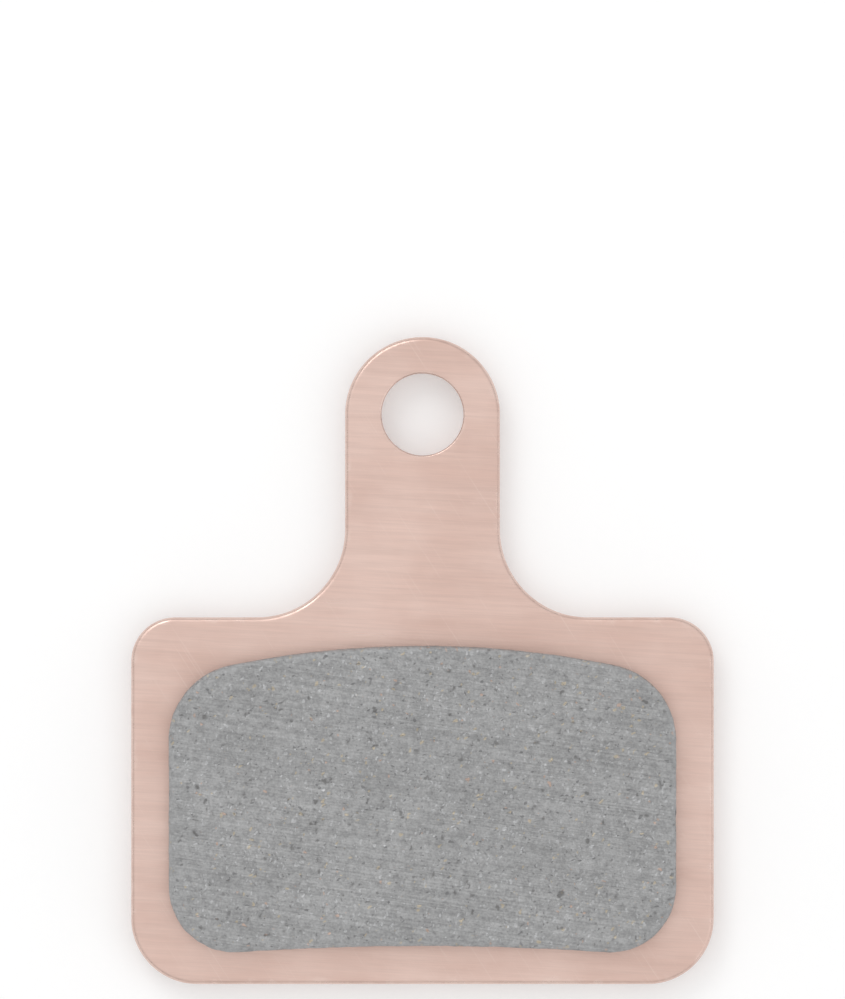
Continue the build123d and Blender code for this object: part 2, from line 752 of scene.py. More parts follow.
@dataclass(frozen=True)
class CopperFlash:
    """Satin steel sheet under a thin copper flash."""

    bare: Bare = Bare(brightness=0.93, roughness=0.26, relief=0.001)
    pale: Colour = (0.740, 0.555, 0.490)
    rich: Colour = (0.655, 0.465, 0.402)
    pit: Colour = (0.300, 0.210, 0.180)
    burnished: Colour = (0.800, 0.640, 0.575)
    broken: Colour = (0.450, 0.325, 0.285)
    grain_turn: float = math.radians(3.0)
    scuff_turn: float = math.radians(57.0)
    scuff_shift: float = 17.0
    scuff_level: float = 0.86  # of 1; weaker lines don't show
    clouds: Grain = Grain((0.22, 0.22, 0.22), detail=4.0, low=0.3, high=0.7)
    bands: Grain = Grain((0.10, 1.3, 0.10))
    grain: Grain = Grain((0.22, 7.0, 0.22))
    hair: Grain = Grain((0.7, 24.0, 0.7))
    scuffs: Grain = Grain((0.16, 9.0, 0.16))
    die_lines: Grain = Grain((9.0, 9.0, 0.5), low=0.3, high=0.7)
    pits: Flecks = Flecks(cell=(0.62, 0.62, 0.62), share=0.10, size=0.12, soft=0.08)
    wear: Grain = Grain((1.3, 1.3, 1.3), detail=5.0, low=0.2, high=0.8)
    crumble: tuple[float, float] = (9.0, 4.0)  # cells to the millimetre and layers of finer noise
    crumble_span: tuple[float, float] = (0.30, 0.62)  # of its noise, over which it shows more
    crumble_cover: tuple[float, float] = (0.30, 0.90)  # of its colour, where it shows least and most
    cloud_share: float = 0.7  # of the tone; the bands make the rest

    def material(self, effects: Effects) -> bpy.types.Material:
        """Build the plate's material.

        Args:
            effects: The effects that both materials share.

        Returns:
            The material.
        """
        material, graph = new_material("copper_flashed_steel")
        place, grain_place = graph.place(), graph.place(turn=self.grain_turn)
        scuff_place = graph.place(turn=self.scuff_turn, shift=self.scuff_shift)
        rim, wall, torn = map(graph.mask, (Mask.RIM, Mask.WALL, Mask.TORN))
        clouds = self.clouds.lay(graph, effects, place)
        bands, grain, hair = (
            lines.lay(graph, effects, grain_place) for lines in (self.bands, self.grain, self.hair)
        )
        scuffs = graph.span(self.scuffs.lay(graph, effects, scuff_place), self.scuff_level, 1.0)
        pits = self.pits.lay(graph, effects, place)["Mask"]
        wear = graph.effect(effects.wear, rim=rim, grain=self.wear.lay(graph, effects, place))[0]
        sheared = graph.product(self.die_lines.lay(graph, effects, place), wall)
        crumble = graph.noise(place, *self.crumble)[0]
        crumbled = graph.product(torn, graph.span(crumble, *self.crumble_span, *self.crumble_cover))
        chunks = graph.product(torn, crumble)

        tone = graph.total([(clouds, self.cloud_share), (bands, 1 - self.cloud_share)])
        marks = [
            (bands, Mark(rough=0.06, height=0.8)),
            (grain, Mark(shade=0.09, rough=0.14, height=1.1)),
            (hair, Mark(shade=0.05, height=0.4)),
            (pits, Mark(self.pit, cover=0.45, rough=0.20, height=-4.0)),
            (scuffs, Mark(self.burnished, cover=0.35, height=-0.8)),
            (wear, Mark(self.burnished, cover=0.40, rough=-0.10)),
            (wall, Mark(rough=-0.06)),
            (torn, Mark(rough=0.30)),
            (crumbled, Mark(self.broken, cover=1.0)),
            (chunks, Mark(height=34.0)),
            (sheared, Mark(self.broken, cover=0.14, height=5.0)),
        ]
        graph.finish(self.bare, graph.mix(tone, self.pale, self.rich), marks, metallic=1.0)
        return material


@dataclass(frozen=True, kw_only=True)
class Speck(Flecks):
    """Particles of one kind that the ground face cuts through."""

    colour: Colour
    cover: float  # how far they hide the matrix
    shine: float  # how far they show as bare metal


@dataclass(frozen=True)
class SinteredCompound:
    """Iron powder with specks of metal and graphite, pressed and sintered, then ground flat."""

    bare: Bare = Bare(brightness=1.0, roughness=0.66, relief=0.008)
    dark: Colour = (0.285, 0.285, 0.286)
    pale: Colour = (0.425, 0.425, 0.426)
    steel: Colour = (0.500, 0.502, 0.508)
    # painted shade: the dark colour that the pores and pinholes are darkened towards
    hollow: Colour = (0.130, 0.127, 0.124)
    matrix_shine: float = 0.35
    iron_grains: Speck = Speck(
        colour=(0.350, 0.355, 0.363), cell=(0.14, 0.12, 0.13), share=1.00, size=1.40, cover=0.15, shine=0.55
    )
    steel_specks: Speck = Speck(
        colour=(0.500, 0.504, 0.512), cell=(0.22, 0.15, 0.18), share=0.30, size=0.56, cover=0.70, shine=1.0
    )
    copper_specks: Speck = Speck(
        colour=(0.520, 0.375, 0.305), cell=(0.24, 0.20, 0.22), share=0.08, size=0.56, cover=0.75, shine=1.0
    )
    bronze_specks: Speck = Speck(
        colour=(0.500, 0.430, 0.320), cell=(0.26, 0.18, 0.22), share=0.07, size=0.56, cover=0.75, shine=1.0
    )
    graphite_flakes: Speck = Speck(
        colour=(0.150, 0.150, 0.153), cell=(0.52, 0.24, 0.32), share=0.10, size=0.50, cover=0.70, shine=0.0
    )
    graphite_crumbs: Speck = Speck(
        colour=(0.140, 0.140, 0.143), cell=(0.30, 0.17, 0.24), share=0.10, size=0.50, cover=0.70, shine=0.0
    )
    speck_turn: float = 1.3  # radians from each kind to the next, so that their cells don't line up
    speck_shift: float = 17.0  # millimetres from each kind to the next
    warps: tuple[tuple[float, float], ...] = ((2.6, 0.30), (8.0, 0.10))  # cells to the millimetre, and push
    coarse: tuple[float, float] = (2.6, 4.0)  # cells to the millimetre and layers of finer noise
    fine: tuple[float, float] = (8.0, 3.0)
    fine_shift: float = 29.0
    crumb_span: tuple[float, float] = (0.34, 0.66)  # of the noise, from the dark colour to the pale one
    pore_fray: float = 0.7  # how far the fine noise frays the edges of the painted shade in the pores
    pore_span: tuple[float, float] = (0.15, 0.65)  # of the pore mask, over which the painted shade in a pore comes in
    clouds: Grain = Grain((0.35, 0.35, 0.35), detail=4.0, low=0.3, high=0.7)
    grind_turn: float = math.radians(8.0)
    grinding: Grain = Grain((0.09, 13.0, 0.09))
    passes: Grain = Grain((0.03, 0.8, 0.03))
    die_lines: Grain = Grain((5.0, 5.0, 0.5), low=0.3, high=0.7)
    pinholes: Flecks = Flecks(cell=(0.19, 0.19, 0.19), share=0.14, size=0.34, soft=0.14)
    pinhole_shift: float = 31.0
    pinhole_depth: float = 0.7  # how dark a pinhole's painted shade is, where a pore's is 1
    wear: Grain = Grain((2.2, 2.2, 2.2), detail=5.0, low=0.2, high=0.8)
    crust: tuple[float, float] = (6.0, 3.0)

    def warp(self, graph: Graph, place: Socket) -> Socket:
        """Push a place about by several sizes of noise, so that round cells come out crooked.

        Args:
            graph: The material's graph.
            place: The place in millimetres.

        Returns:
            The place plus push times the colour of each noise.
        """
        for scale, push in self.warps:
            noise = graph.noise(place, scale, 1.0)[1]
            place = graph.vector("ADD", place, graph.vector("MULTIPLY", noise, (push, push, push)))
        return place

    def scatter(
        self, graph: Graph, effects: Effects, place: Socket, colour: Socket
    ) -> tuple[Socket, Socket, Socket, Socket]:
        """Scatter the specks over the matrix.

        Args:
            graph: The material's graph.
            effects: The effects that both materials share.
            place: The place in millimetres.
            colour: Colour of the matrix.

        Returns:
            The colour, how far the surface is bare metal, the tilt of the bright specks and the
            mask of the dull ones.
        """
        kinds = (
            self.iron_grains,
            self.steel_specks,
            self.copper_specks,
            self.bronze_specks,
            self.graphite_flakes,
            self.graphite_crumbs,
        )
        shine: Value = self.matrix_shine
        tilt: Value = 0.0
        dull: Value = 0.0
        for number, kind in enumerate(kinds):
            turn, shift = self.speck_turn * number, self.speck_shift * number
            fleck, lean = kind.lay(graph, effects, place, turn, shift)
            colour = graph.mix(graph.product(fleck, kind.cover), colour, kind.colour)
            shine = graph.total([(fleck, kind.shine)], graph.product(graph.rest(fleck), shine))
            tilt = graph.total([(lean, kind.shine)], tilt)
            if not kind.shine:
                dull = graph.math("MAXIMUM", fleck, dull)
        return colour, shine, tilt, dull

    def material(self, effects: Effects) -> bpy.types.Material:
        """Build the lining's material.

        Args:
            effects: The effects that both materials share.

        Returns:
            The material.
        """
        material, graph = new_material("sintered_compound")
        place, grind_place = graph.place(), graph.place(turn=self.grind_turn)
        pore, wall, rim = map(graph.mask, (Mask.PORE, Mask.WALL, Mask.RIM))
        crooked = self.warp(graph, place)
        coarse = graph.noise(place, *self.coarse)[0]
        fine = graph.noise(graph.place(shift=self.fine_shift), *self.fine)[0]
        crumb = graph.total([(coarse, 0.5), (fine, 0.5)])
        matrix = graph.mix(graph.span(crumb, *self.crumb_span), self.dark, self.pale)
        colour, shine, tilt, dull = self.scatter(graph, effects, crooked, matrix)

        ground = graph.rest(wall)
        scored, passed = (
            graph.product(graph.math("SUBTRACT", lines.lay(graph, effects, grind_place), 0.5), ground)
            for lines in (self.grinding, self.passes)
        )
        blotch = graph.math("SUBTRACT", self.clouds.lay(graph, effects, place), 0.5)
        dragged = graph.product(self.die_lines.lay(graph, effects, place), wall)
        wear = graph.effect(effects.wear, rim=rim, grain=self.wear.lay(graph, effects, place))[0]
        pinholes = self.pinholes.lay(graph, effects, crooked, shift=self.pinhole_shift)["Mask"]
        # painted shade in the pores: the pore mask frayed by the fine noise, and the deeper of it and the
        # pinholes
        frayed = graph.total([(pore, 1.0), (fine, self.pore_fray)], -self.pore_fray / 2)
        pore_shade = graph.span(frayed, *self.pore_span)
        deep = graph.math("MAXIMUM", pore_shade, graph.product(pinholes, self.pinhole_depth))
        covered = graph.math("MAXIMUM", deep, dull)
        shine = graph.product(shine, graph.rest(covered))
        crust = graph.product(graph.noise(place, *self.crust)[0], wall)
        marks = [
            (scored, Mark(shade=0.22, height=1.5)),
            (passed, Mark(shade=0.07)),
            (dragged, Mark(shade=-0.14, height=-1.0)),
            (blotch, Mark(shade=0.08)),
            (wear, Mark(self.steel, cover=0.25)),
            # painted shade: pores and pinholes darkened towards the hollow colour
            (deep, Mark(self.hollow, cover=0.75)),
            (covered, Mark(rough=0.15)),
            (shine, Mark(rough=-0.25)),
            (tilt, Mark(height=10.0)),
            (crumb, Mark(height=0.8)),
            (pinholes, Mark(height=-1.6)),
            (crust, Mark(height=4.0)),
        ]
        graph.finish(self.bare, colour, marks, metallic=shine)
        return material


@dataclass(frozen=True)
class PaleFloor:
    """White floor that keeps the pad's shadow and fades into a white background."""

    paint: Colour = (0.80, 0.80, 0.80)
    lift: float = 0.23  # light that only shows to the camera and in reflections

    def material(self) -> bpy.types.Material:
        """Build the floor's material.

        Returns:
            The material.
        """
        material, graph = new_material("pale_floor")
        rays = graph.add("ShaderNodeLightPath").outputs
        seen = graph.math("ADD", rays["Is Camera Ray"], rays["Is Glossy Ray"])
        seen = graph.math("MINIMUM", graph.math("ADD", seen, rays["Is Transmission Ray"]), 1.0)
        paint = graph.add("ShaderNodeBsdfDiffuse", {"Color": self.paint})
        glow = graph.add("ShaderNodeEmission", {"Strength": graph.product(seen, self.lift)})
        both = graph.add("ShaderNodeAddShader", {0: paint.outputs[0], 1: glow.outputs[0]})
        graph.add("ShaderNodeOutputMaterial", {"Surface": both.outputs[0]})
        return material


# The two pieces


@dataclass
class BackingPlate:
    """The plate: a stamped blank with a tab for the pad axle."""

    width: float = 29.15
    drop: float = 28.5  # from the bore axis down to the bottom edge
    thickness: float = 1.8
    bore_radius: float = 2.05
    shoulder_drop: float = 10.15  # from the bore axis down to the shoulders
    shoulder_corner: float = 2.2
    bottom_corner: float = 3.3
    tab_width: float = 7.75
    tab_root: float = 4.4
    bore_break: float = 0.1
    rim_roll: float = 0.25
    torn_height: float = 0.7  # of the broken lower part of the wall
    torn_inset: float = 0.07  # how far the broken wall falls back at the rear face
    tear_wave: SmoothNoise = SmoothNoise(cell=1.4, height=0.21, seed=41)
    tear_ripple: SmoothNoise = SmoothNoise(cell=0.45, height=0.09, seed=42)
    die_lines: SmoothNoise = SmoothNoise(cell=0.22, height=0.008, seed=43)
    chunks: SmoothNoise = SmoothNoise(cell=0.30, height=0.021, seed=44, squeeze=0.5)
    grit: SmoothNoise = SmoothNoise(cell=0.12, height=0.014, seed=45, squeeze=0.7)
    face_rub: float = 0.3  # rim mask where a rounded edge begins
    land_rub: float = 0.6  # rim mask at the top of the sheared land
    wall_rub: float = 0.2  # rim mask on a wall, away from its edges
    rear_rub: tuple[float, float] = (0.6, 0.9)  # rim mask of the last two rows before the rear face
    face_step: float = 0.2  # grid step on the flat faces; the wall has half of it
    face_margin: float = 0.2  # flat strip between the face grid and the rim
    roll_steps: int = 8
    land_steps: int = 6
    torn_steps: int = 14
    mouth_steps: int = 5
    bore_steps: int = 7
    tab_steps: int = 8  # from the tab's outline to the bore
    finish: CopperFlash = field(default_factory=CopperFlash)

    @classmethod
    def fitted(cls, record: dict) -> "BackingPlate":
        """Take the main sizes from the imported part.

        Args:
            record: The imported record.

        Returns:
            A plate as large as the CAD node.
        """
        low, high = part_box("backing_plate")
        bore = next(mount for mount in record["mounts"] if mount["name"] == "axle_bore")
        return cls(
            width=(high.x - low.x) / MM,
            drop=-low.y / MM,
            thickness=(high.z - low.z) / MM,
            bore_radius=bore["dims"]["r_mm"],
        )

    def runs(self) -> dict[Stretch, list[Run]]:
        """Lay out the outline.

        Returns:
            The lines and arcs of each stretch.
        """
        side, tab, root = self.width / 2, self.tab_width / 2, self.tab_root
        low_x, low_y = side - self.bottom_corner, self.bottom_corner - self.drop
        high_x, high_y = side - self.shoulder_corner, -self.shoulder_drop - self.shoulder_corner
        root_x, root_y = tab + root, root - self.shoulder_drop
        return {
            Stretch.BOTTOM: [
                Arc((-low_x, low_y), self.bottom_corner, 2 * QUARTER, 3 * QUARTER),
                Line((-low_x, -self.drop), (low_x, -self.drop)),
                Arc((low_x, low_y), self.bottom_corner, 3 * QUARTER, 4 * QUARTER),
            ],
            Stretch.RIGHT_SIDE: [Line((side, low_y), (side, high_y))],
            Stretch.RIGHT_SHOULDER: [
                Arc((high_x, high_y), self.shoulder_corner, 0, QUARTER),
                Line((high_x, -self.shoulder_drop), (root_x, -self.shoulder_drop)),
                Arc((root_x, root_y), root, 3 * QUARTER, 2 * QUARTER),
            ],
            Stretch.TAB: [
                Line((tab, root_y), (tab, 0)),
                Arc((0, 0), tab, 0, 2 * QUARTER),
                Line((-tab, 0), (-tab, root_y)),
            ],
            Stretch.LEFT_SHOULDER: [
                Arc((-root_x, root_y), root, 0, -QUARTER),
                Line((-root_x, -self.shoulder_drop), (-high_x, -self.shoulder_drop)),
                Arc((-high_x, high_y), self.shoulder_corner, QUARTER, 2 * QUARTER),
            ],
            Stretch.LEFT_SIDE: [Line((-side, high_y), (-side, low_y))],
        }

    def steps(self) -> dict[Stretch, int]:
        """Count the face grid steps along the outline.

        Returns:
            The steps of each stretch. The bottom has as many as the top edge that faces it.
        """
        steps = {
            stretch: round(total_length(runs) / self.face_step)
            for stretch, runs in self.runs().items()
        }
        steps[Stretch.BOTTOM] = 2 * steps[Stretch.RIGHT_SHOULDER] + self.neck_steps()
        return steps

    def neck_steps(self) -> int:
        """Face grid steps across the root of the tab."""
        return round(self.tab_width / self.face_step)

    def collar(self, inset: float) -> np.ndarray:
        """Draw a closed line inside the tab's outline and back across its root.

        Args:
            inset: How far inside the outline it runs.

        Returns:
            The points, first those along the outline and then those across the root.
        """
        tab = walk(self.runs()[Stretch.TAB], self.steps()[Stretch.TAB]).inset(inset)
        neck = np.linspace(tab[-1], tab[0], self.neck_steps() + 1)
        return np.concatenate([tab, neck[1:-1]])

    def spokes(self) -> np.ndarray:
        """Unit spokes from the bore axis to the points of the tab's outline."""
        outline = self.collar(0.0)
        return outline / np.linalg.norm(outline, axis=1, keepdims=True)

    def face(self, inset: float, z: float) -> list[Patch]:
        """One flat face of the plate, as far as a line inside its rim.

        Two grids share the line across the root of the tab. In the body each point is
        (1 - v) of the way from the bottom edge and v from the top edge, at equal shares along
        both edges. In the tab each point lies so between the outline and the bore's mouth.

        Args:
            inset: How far inside the outline the face ends.
            z: Height of the face.

        Returns:
            The patches of the body and the tab.
        """
        runs, steps = self.runs(), self.steps()
        edge = {stretch: walk(runs[stretch], steps[stretch]).inset(inset) for stretch in Stretch}
        collar = self.collar(inset)
        neck = collar[steps[Stretch.TAB] + 1 :]
        top = np.concatenate(
            [edge[Stretch.LEFT_SHOULDER][::-1], neck, edge[Stretch.RIGHT_SHOULDER][::-1]]
        )
        share = np.linspace(0, 1, steps[Stretch.LEFT_SIDE] + 1)[:, None, None]
        body = (1 - share) * edge[Stretch.BOTTOM] + share * top
        mouth = (self.bore_radius + self.bore_break) * self.spokes()
        share = np.linspace(0, 1, self.tab_steps + 1)[:, None, None]
        tab = (1 - share) * collar + share * mouth
        return [grid_patch(lift(body, z)), grid_patch(lift(tab, z), closed=True)]

    def loop(self, fineness: int) -> Trace:
        """Closed trace of the outline, with so many points to a face grid step."""
        steps = self.steps()
        return join([walk(runs, fineness * steps[stretch]) for stretch, runs in self.runs().items()])

    def rim(self, loop: Trace) -> Patch:
        """The wall of the blank: a profile carried along the outline.

        From the front it rolls over a quarter circle, runs straight down the sheared land, and
        then falls back along the broken band, whose depth is the inset times the share of the
        band's height plus a random relief that is drawn out along Z.

        Args:
            loop: The fine trace of the outline.

        Returns:
            The patch, from the edge of the front face to the edge of the rear face.
        """
        along, around = loop.distances()
        flat = np.zeros_like(along)
        waves = (self.tear_wave, self.tear_ripple)
        tear = self.torn_height + sum(wave.swing(along, flat, around) for wave in waves)

        angle = np.linspace(0, QUARTER, self.roll_steps + 1)[:, None]
        roll_in = self.rim_roll * (1 - np.sin(angle)) + flat
        roll_z = self.thickness - self.rim_roll * (1 - np.cos(angle)) + flat

        land = np.linspace(0, 1, self.land_steps + 1)[1:, None]
        land_in = land * self.die_lines.at(along, flat, around)
        land_z = (1 - land) * (self.thickness - self.rim_roll) + land * tear

        torn = np.linspace(0, 1, self.torn_steps + 1)[1:, None]
        torn_z = (1 - torn) * tear
        wide = along + 0 * torn_z
        rough = self.chunks.at(wide, torn_z, around) + self.grit.at(wide, torn_z, around)
        torn_in = land_in[-1] + torn * self.torn_inset + np.sqrt(torn) * rough

        rolled = np.sin(angle) ** 2
        roll_rub = self.face_rub + (1 - self.face_rub) * rolled
        land_rub = self.land_rub * np.linspace(1, 0, self.land_steps)[:, None] ** 2
        torn_rub = np.full_like(torn, self.wall_rub)
        torn_rub[-2:, 0] = self.rear_rub
        masks = {
            Mask.RIM: np.concatenate([roll_rub, land_rub, torn_rub]),
            Mask.WALL: np.concatenate([rolled, np.ones_like(land), np.ones_like(torn)]),
            Mask.TORN: np.concatenate([0 * rolled, 0 * land, np.sqrt(torn)]),
        }
        inset = np.concatenate([roll_in, land_in, torn_in])
        height = np.concatenate([roll_z, land_z, torn_z])
        return grid_patch(lift(loop.inset(inset), height), masks, closed=True)

    def bore(self) -> Patch:
        """The wall of the bore: a straight profile with a quarter round at each mouth.

        Returns:
            The patch, from the front face to the rear face.
        """
        angle = np.linspace(0, QUARTER, self.mouth_steps + 1)
        mouth_r = self.bore_radius + self.bore_break * (1 - np.sin(angle))
        mouth_z = self.bore_break * (1 - np.cos(angle))
        wall = np.linspace(0, 1, self.bore_steps + 1)[1:-1]
        wall_z = self.thickness - self.bore_break - wall * (self.thickness - 2 * self.bore_break)
        radius = np.concatenate([mouth_r, np.full_like(wall, self.bore_radius), mouth_r[::-1]])
        height = np.concatenate([self.thickness - mouth_z, wall_z, mouth_z[::-1]])
        rub = self.face_rub + (1 - self.face_rub) * np.sin(2 * angle)
        depth = (self.bore_radius + self.bore_break - radius) / self.bore_break
        masks = {
            Mask.RIM: np.concatenate([rub, np.full_like(wall, self.wall_rub), rub[::-1]])[:, None],
            Mask.WALL: np.clip(depth, 0, 1)[:, None],
        }
        points = radius[:, None, None] * self.spokes()
        return grid_patch(lift(points, height[:, None]), masks, closed=True)

    def build(self, effects: Effects) -> bpy.types.Object:
        """Make the plate and dress it.

        Args:
            effects: The effects that both materials share.

        Returns:
            The finished piece.
        """
        coarse, fine = self.loop(1), self.loop(2)
        rim, count = self.rim(fine), len(fine.points)
        front = self.rim_roll + self.face_margin
        rear = self.torn_inset + self.chunks.height + self.grit.height + self.face_margin
        front_edge = lift(coarse.inset(front), self.thickness)
        rear_edge = lift(coarse.inset(rear), 0.0)
        patches = [
            *self.face(front, self.thickness),
            halving_patch(front_edge, rim.points[:count], {Mask.RIM: self.face_rub}),
            rim,
            halving_patch(rear_edge, rim.points[-count:], {Mask.RIM: self.rear_rub[-1]}),
            *self.face(rear, 0.0),
            self.bore(),
        ]
        piece = weld("plate_copper_flashed", patches)
        piece.data.materials.append(self.finish.material(effects))
        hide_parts("backing_plate")
        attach(piece, "root")
        return piece


@dataclass
class FrictionLining:
    """The lining: a pressed block with arched edges and a ground friction face."""

    half_width: float = 12.675
    foot: float = 1.8  # height of the plate's front face, where the block stands
    face: float = 4.0  # height of the friction face
    crown: float = -11.55  # highest point of the top edge
    hollow: float = -26.55  # highest point of the lower edge, which arches upwards
    top_rise: float = 1.7
    bottom_rise: float = 0.6
    top_corner: float = 3.85
    bottom_corner: float = 3.3
    rim_radius: float = 0.3
    face_bend: SmoothNoise = SmoothNoise(cell=0.2, height=0.30, seed=77)
    face_twist: SmoothNoise = SmoothNoise(cell=0.2, height=0.30, seed=78)
    small_pores: Pores = Pores(cell=0.50, share=0.30, radius=0.16, depth=0.05, seed=79)
    large_pores: Pores = Pores(cell=1.10, share=0.14, radius=0.18, depth=0.07, seed=80)
    face_grit: SmoothNoise = SmoothNoise(cell=0.18, height=0.010, seed=81)
    wall_bend: SmoothNoise = SmoothNoise(cell=0.3, height=0.2, seed=82)
    wall_pores: Pores = Pores(cell=0.55, share=0.30, radius=0.15, depth=0.07, seed=83)
    wall_lumps: SmoothNoise = SmoothNoise(cell=0.45, height=0.030, seed=84, squeeze=0.7)
    wall_grit: SmoothNoise = SmoothNoise(cell=0.17, height=0.022, seed=85)
    rim_chips: Pores = Pores(cell=1.5, share=0.45, radius=0.55, depth=0.16, seed=86)
    full_pore: float = 0.08  # depth at which the pore mask is 1
    rim_rub: float = 0.25  # rim mask at both edges of the rounded rim
    wall_rub: float = 0.15  # rim mask on the wall
    step: float = 0.082  # grid step along the edges
    face_steps: int = 168
    rim_steps: int = 6
    wall_steps: int = 21
    finish: SinteredCompound = field(default_factory=SinteredCompound)

    @classmethod
    def fitted(cls) -> "FrictionLining":
        """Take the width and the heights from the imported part."""
        low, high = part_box("friction_lining")
        return cls(half_width=high.x / MM, foot=low.z / MM, face=high.z / MM)

    def runs(self) -> list[list[Run]]:
        """Lay out the outline.

        Each edge arc has the radius (half width^2 + rise^2) / (2 rise). A corner circle touches
        the side, and touches the top arc from inside or the bottom arc from outside, so its
        centre stands the difference or the sum of the radii from that arc's centre.

        Returns:
            The lines and arcs of the bottom, the right side, the top and the left side.
        """
        side, half_turn = self.half_width, math.pi
        top = (side**2 + self.top_rise**2) / (2 * self.top_rise)
        bottom = (side**2 + self.bottom_rise**2) / (2 * self.bottom_rise)
        top_middle, bottom_middle = self.crown - top, self.hollow - bottom
        top_x, low_x = side - self.top_corner, side - self.bottom_corner
        top_y = top_middle + math.sqrt((top - self.top_corner) ** 2 - top_x**2)
        low_y = bottom_middle + math.sqrt((bottom + self.bottom_corner) ** 2 - low_x**2)
        top_meet = math.atan2(top_y - top_middle, top_x)
        low_meet = math.atan2(low_y - bottom_middle, low_x)
        return [
            [
                Arc((-low_x, low_y), self.bottom_corner, half_turn, 2 * half_turn - low_meet),
                Arc((0, bottom_middle), bottom, half_turn - low_meet, low_meet),
                Arc((low_x, low_y), self.bottom_corner, half_turn + low_meet, 2 * half_turn),
            ],
            [Line((side, low_y), (side, top_y))],
            [
                Arc((top_x, top_y), self.top_corner, 0, top_meet),
                Arc((0, top_middle), top, top_meet, half_turn - top_meet),
                Arc((-top_x, top_y), self.top_corner, half_turn - top_meet, half_turn),
            ],
            [Line((-side, top_y), (-side, low_y))],
        ]

    def face_relief(self, x: np.ndarray, y: np.ndarray) -> tuple[np.ndarray, np.ndarray]:
        """Depth of the ground face below its plane: the deeper of two sizes of pore, and grit.

        Args:
            x: First coordinate of each point.
            y: Second coordinate of each point.

        Returns:
            The depth in millimetres, and the pore mask from 0 to 1.
        """
        bent = x + self.face_bend.swing(x, y), y + self.face_twist.swing(x, y)
        pore = np.maximum(self.small_pores.at(*bent), self.large_pores.at(*bent))
        return pore + self.face_grit.at(x, y), np.clip(pore / self.full_pore, 0, 1)

    def wall_relief(
        self, along: np.ndarray, height: np.ndarray, around: float
    ) -> tuple[np.ndarray, np.ndarray]:
        """Depth of the pressed wall behind its plane: pores, lumps and grit.

        Args:
            along: Distance of each point along the outline.
            height: Height of each point.
            around: Length of the outline.

        Returns:
            The depth in millimetres, and the pore mask from 0 to 1.
        """
        bend = self.wall_bend.swing(along, height, around)
        pore = self.wall_pores.at(along + bend, height - bend, around)
        lumps = self.wall_lumps.at(along, height, around)
        grit = self.wall_grit.at(along, height, around)
        return pore + lumps + grit, np.clip(pore / self.full_pore, 0, 1)

    def friction_face(self, lower: Trace, upper: Trace) -> Patch:
        """The ground face inside its rim.

        Each point is (1 - v) of the way from the lower edge and v from the top edge, at equal
        shares along both edges, and lies below the plane of the face by its relief.

        Args:
            lower: The lower edge, from left to right.
            upper: The top edge, from right to left.

        Returns:
            The patch.
        """
        share = np.linspace(0, 1, self.face_steps + 1)[:, None, None]
        low, high = lower.inset(self.rim_radius), upper.inset(self.rim_radius)[::-1]
        plane = (1 - share) * low + share * high
        depth, pore = self.face_relief(plane[..., 0], plane[..., 1])
        return grid_patch(lift(plane, self.face - depth), {Mask.PORE: pore})

    def side(self, loop: Trace) -> Patch:
        """The rim and the wall: a profile carried along the outline.

        It rolls over a quarter circle and then drops to the foot. Relief goes into the surface
        along its normal. Over the rim it passes from the face's relief to the wall's, and chips
        are deepest half way round it.

        Args:
            loop: The closed trace of the outline.

        Returns:
            The patch, from the edge of the face down to the foot.
        """
        along, around = loop.distances()
        angle = np.linspace(0, QUARTER, self.rim_steps + 1)[:, None]
        drop = np.linspace(self.face - self.rim_radius, self.foot, self.wall_steps + 1)[1:, None]
        lean = np.concatenate([np.sin(angle), np.ones_like(drop)])
        inset = np.concatenate([self.rim_radius * (1 - np.sin(angle)), 0 * drop]) + 0 * along
        height = np.concatenate([self.face - self.rim_radius * (1 - np.cos(angle)), drop]) + 0 * along
        along = along + 0 * height
        flat = loop.inset(inset)
        face_depth, face_pore = self.face_relief(flat[..., 0], flat[..., 1])
        wall_depth, wall_pore = self.wall_relief(along, height, around)
        chips = np.sin(2 * np.arcsin(lean)) * self.rim_chips.at(along, 0 * height, around)
        depth = (1 - lean) * face_depth + lean * wall_depth + chips
        points = lift(loop.inset(inset + lean * depth), height - np.sqrt(1 - lean**2) * depth)
        rim_rub = self.rim_rub + (1 - self.rim_rub) * np.sin(2 * angle)
        masks = {
            Mask.RIM: np.concatenate([rim_rub, np.full_like(drop, self.wall_rub)]),
            Mask.WALL: lean**2,
            Mask.PORE: (1 - lean) * face_pore + lean * wall_pore,
        }
        return grid_patch(points, masks, closed=True)

    def build(self, effects: Effects) -> bpy.types.Object:
        """Make the lining and dress it.

        Args:
            effects: The effects that both materials share.

        Returns:
            The finished piece.
        """
        bottom, right, top, left = self.runs()
        columns = round(total_length(top) / self.step)
        lower, upper = walk(bottom, columns), walk(top, columns)
        loop = join([lower, walk(right, self.face_steps), upper, walk(left, self.face_steps)])
        side = self.side(loop)
        foot = side.points[-len(loop.points) :]
        middle = np.array((0.0, (self.crown + self.hollow) / 2, self.foot))
        base = fan_patch(foot, middle, {Mask.WALL: 1.0, Mask.RIM: self.wall_rub})
        piece = weld("lining_sintered", [self.friction_face(lower, upper), side, base])
        piece.data.materials.append(self.finish.material(effects))
        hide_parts("friction_lining")
        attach(piece, "root")
        return piece


# The studio


@dataclass(frozen=True)
class Softbox:
    """A square studio lamp that points at the pad."""

    name: str
    place: Triple  # metres
    size: float  # metres
    power: float  # watts

    def hang(self, target: Vector) -> None:
        """Put the lamp into the scene, out of the camera's sight.

        Args:
            target: The point in metres that it points at.
        """
        lamp = bpy.data.lights.new(self.name, "AREA")
        lamp.size, lamp.energy = self.size, self.power
        holder = bpy.data.objects.new(self.name, lamp)
        holder.location = self.place
        holder.rotation_euler = (target - Vector(self.place)).to_track_quat("-Z", "Y").to_euler()
        holder.visible_camera = False
        bpy.context.scene.collection.objects.link(holder)


